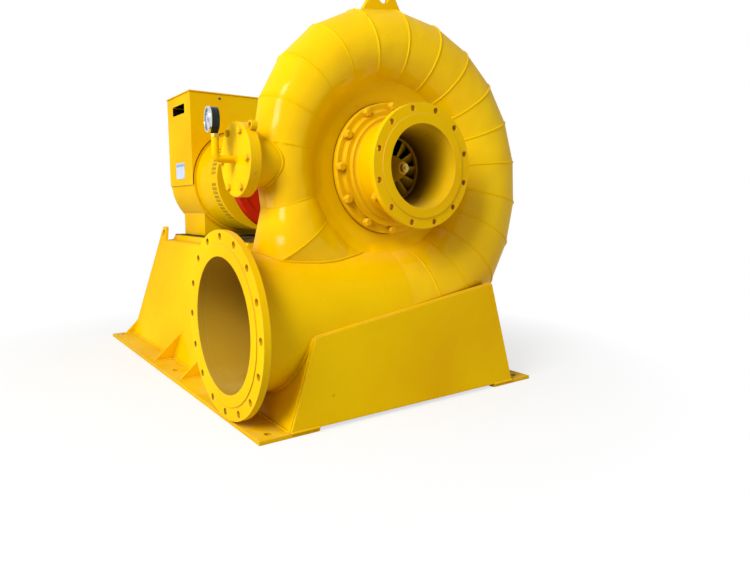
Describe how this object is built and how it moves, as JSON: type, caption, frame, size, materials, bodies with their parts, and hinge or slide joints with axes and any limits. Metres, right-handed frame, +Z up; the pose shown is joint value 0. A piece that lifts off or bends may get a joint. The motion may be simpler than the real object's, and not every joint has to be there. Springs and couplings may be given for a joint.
{
  "type": "hydroelectric generator",
  "caption": "Horizontal Francis turbine and generator on one welded base: spiral casing with flanged inlet and draft tube, flywheel, pedestal bearing, pressure gauge and boxed generator.",
  "frame": {"origin": "on the floor, at the middle of the four corner foundation bolts", "axes": "+Y along the shaft from the draft flange to the generator, +Z up, the inlet opens towards -X"},
  "size_m": [1.1897, 1.7772, 1.3804],
  "materials": {
    "yellow_paint": "gloss paint over welded steel",
    "red_paint": "gloss paint",
    "bright_steel": "turned",
    "vane_steel": "ground",
    "gland_iron": "machined",
    "runner_iron": "painted casting, scuffed",
    "gauge_black": "moulded",
    "gauge_white": "printed",
    "plate_aluminium": "blank plate"
  },
  "bodies": {
    "plant": {"foot_plate_left": "yellow_paint", "foot_plate_right": "yellow_paint", "base_side_left": "yellow_paint", "base_side_right": "yellow_paint", "base_front_plate": "yellow_paint", "base_rear_plate": "yellow_paint", "base_bulkhead": "yellow_paint", "base_deck": "yellow_paint", "generator_bed": "yellow_paint", "base_gussets_left": "yellow_paint", "base_gussets_right": "yellow_paint", "inlet_flange": "yellow_paint", "inlet_pipe": "yellow_paint", "spiral_section_1": "yellow_paint", "spiral_section_2": "yellow_paint", "spiral_section_3": "yellow_paint", "spiral_section_4": "yellow_paint", "spiral_section_5": "yellow_paint", "stay_ring_front": "yellow_paint", "stay_ring_back": "yellow_paint", "draft_cover": "yellow_paint", "draft_pipe": "yellow_paint", "draft_flange": "yellow_paint", "rear_cover": "yellow_paint", "casing_lifting_lug": "yellow_paint", "branch_pipe": "yellow_paint", "branch_flange": "yellow_paint", "branch_blind_cover": "yellow_paint", "gauge_pipe": "yellow_paint", "bearing_pedestal": "yellow_paint", "bearing_housing": "yellow_paint", "generator_frame": "yellow_paint", "generator_feet": "yellow_paint", "generator_drive_end": "yellow_paint", "generator_rear_end": "yellow_paint", "terminal_box": "yellow_paint", "terminal_box_lid": "yellow_paint", "guide_vanes": "vane_steel", "shaft_gland": "gland_iron", "gauge_case": "gauge_black", "gauge_dial": "gauge_white", "nameplate": "plate_aluminium"},
    "rotor": {"runner_crown": "runner_iron", "runner_band": "runner_iron", "runner_blades": "runner_iron", "runner_nut": "bright_steel", "shaft": "bright_steel", "flywheel": "red_paint"}
  },
  "joints": [
    {"name": "rotor_spin", "type": "hinge", "parent": "plant", "child": "rotor", "pos_m": [0, -0.6347, 0.768], "axis": [0, -1, 0], "continuous": true}
  ]
}
